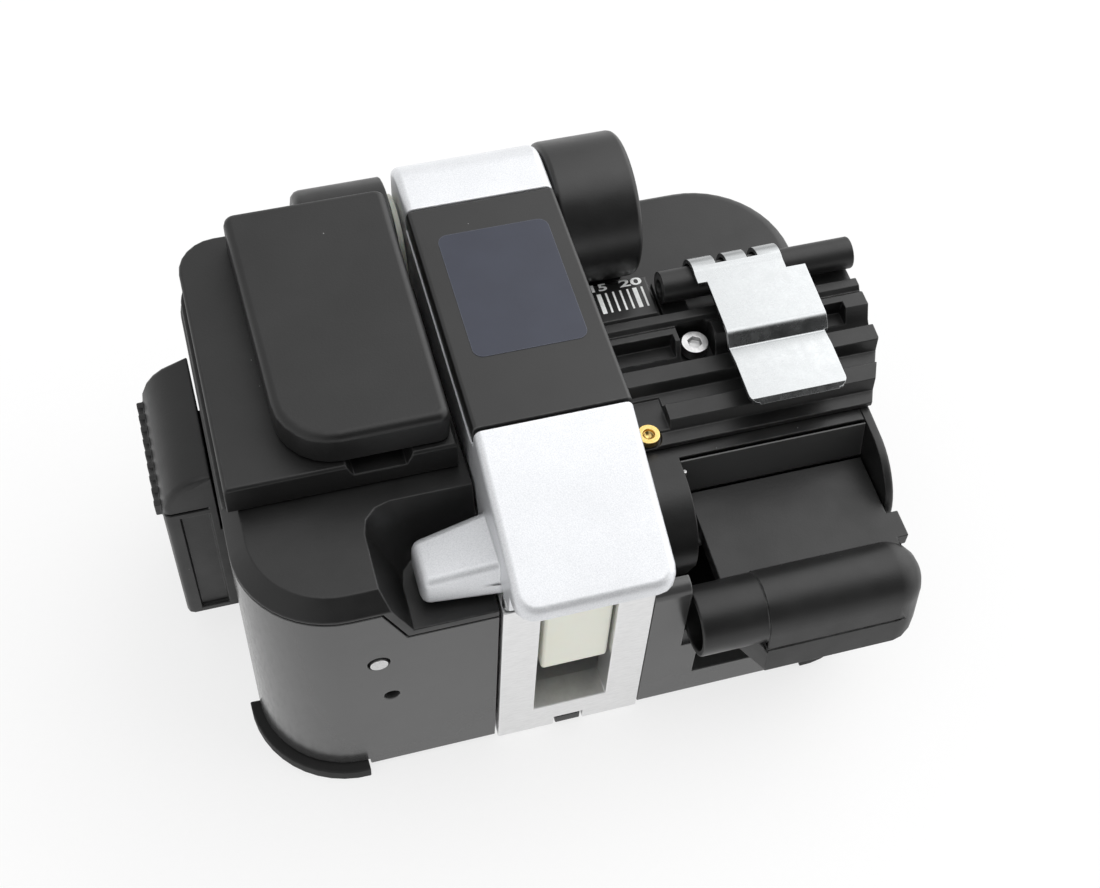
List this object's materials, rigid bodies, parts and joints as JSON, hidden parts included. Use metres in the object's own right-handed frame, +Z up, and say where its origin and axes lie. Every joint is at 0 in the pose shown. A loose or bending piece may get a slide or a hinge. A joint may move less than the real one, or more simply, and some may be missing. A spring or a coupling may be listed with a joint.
{
  "type": "optical fiber cleaver",
  "caption": "bench-top optical fiber cleaver with a hinged clamping arm, grooved fiber adapter with spring clip, length scale, press lever and scrap collector",
  "frame": {"origin": "on the surface that the feet stand on, under the middle of the bounding box", "axes": "+X along the fiber towards the adapter, +Y from the front to the hinge, +Z up"},
  "size_m": [0.0968, 0.07, 0.0518],
  "materials": {
    "gloss_shell": "gloss moulded",
    "matte_shell": "fine matte texture",
    "satin_black": "satin",
    "aluminium": "satin machined",
    "silver_paint": "silver metallic paint on a casting",
    "ivory": "machined ivory plastic",
    "steel": "ground",
    "bright_steel": "polished",
    "carbide": "ground carbide",
    "brass": "turned",
    "rubber": "moulded"
  },
  "bodies": {
    "base": {"base_plate": "matte_shell", "left_housing": "gloss_shell", "right_housing": "gloss_shell", "left_deck": "matte_shell", "right_deck": "matte_shell", "deck_plate": "matte_shell", "chassis_frame": "aluminium", "foot_front_left": "rubber", "foot_front_right": "rubber", "foot_rear_right": "rubber", "foot_rear_left": "rubber", "hinge_shaft": "steel", "hinge_washer": "ivory", "hinge_barrel": "satin_black", "arm_spring": "steel", "slide_rail": "steel", "lower_clamp_left": "rubber", "lower_clamp_right": "rubber", "lever_pin": "steel", "lever_spring": "steel", "fibre_adapter": "matte_shell", "scale_plate": "satin_black", "clip_barrel": "matte_shell", "adapter_screw": "steel", "brass_eyelet": "brass", "wall_pin": "steel", "latch_pin": "bright_steel"},
    "arm": {"arm_casting": "silver_paint", "arm_inlay": "satin_black", "clamp_holder": "matte_shell", "upper_clamp_left": "rubber", "upper_clamp_right": "rubber", "upper_anvil": "steel", "drive_block": "ivory"},
    "cover": {"roller_cover": "matte_shell"},
    "pinch": {"pinch_roller": "rubber", "pinch_roller_shaft": "steel"},
    "drive": {"drive_roller": "rubber", "drive_roller_shaft": "steel"},
    "bin": {"scrap_bin": "matte_shell"},
    "carriage": {"blade_carriage": "aluminium", "blade_axle": "steel"},
    "blade": {"blade_disc": "carbide"},
    "clip": {"spring_clip": "bright_steel"},
    "lever": {"press_lever": "matte_shell"}
  },
  "joints": [
    {"name": "arm_hinge", "type": "hinge", "parent": "base", "child": "arm", "pos_m": [-0.0015, 0.0248, 0.0405], "axis": [-1, 0, 0], "range_deg": [0, 55]},
    {"name": "cover_hinge", "type": "hinge", "parent": "base", "child": "cover", "pos_m": [-0.0175, 0.0248, 0.0405], "axis": [-1, 0, 0], "range_deg": [0, 70]},
    {"name": "clip_hinge", "type": "hinge", "parent": "base", "child": "clip", "pos_m": [0.0335, 0.0128, 0.036], "axis": [-1, 0, 0], "range_deg": [0, 95]},
    {"name": "lever_press", "type": "hinge", "parent": "base", "child": "lever", "pos_m": [0.0305, -0.0142, 0.0203], "axis": [1, 0, 0], "range_deg": [0, 8], "stiffness_Nm_per_rad": 0.06, "springref_deg": -14.32},
    {"name": "bin_slide", "type": "slide", "parent": "base", "child": "bin", "axis": [-1, 0, 0], "range_m": [0, 0.022]},
    {"name": "blade_slide", "type": "slide", "parent": "base", "child": "carriage", "axis": [0, -1, 0], "range_m": [0, 0.022]},
    {"name": "blade_turn", "type": "hinge", "parent": "carriage", "child": "blade", "pos_m": [-0.0015, 0.0163, 0.0265], "axis": [1, 0, 0], "continuous": true},
    {"name": "drive_roller_turn", "type": "hinge", "parent": "base", "child": "drive", "pos_m": [-0.0205, 0.0072, 0.03165], "axis": [0, 1, 0], "continuous": true},
    {"name": "pinch_roller_turn", "type": "hinge", "parent": "cover", "child": "pinch", "pos_m": [-0.0205, 0.0072, 0.03795], "axis": [0, 1, 0], "continuous": true}
  ],
  "couplings": [
    {"joint": "blade_slide", "follows": "arm_hinge", "m_per_rad": 0.022918},
    {"joint": "pinch_roller_turn", "follows": "drive_roller_turn", "ratio": -1}
  ]
}
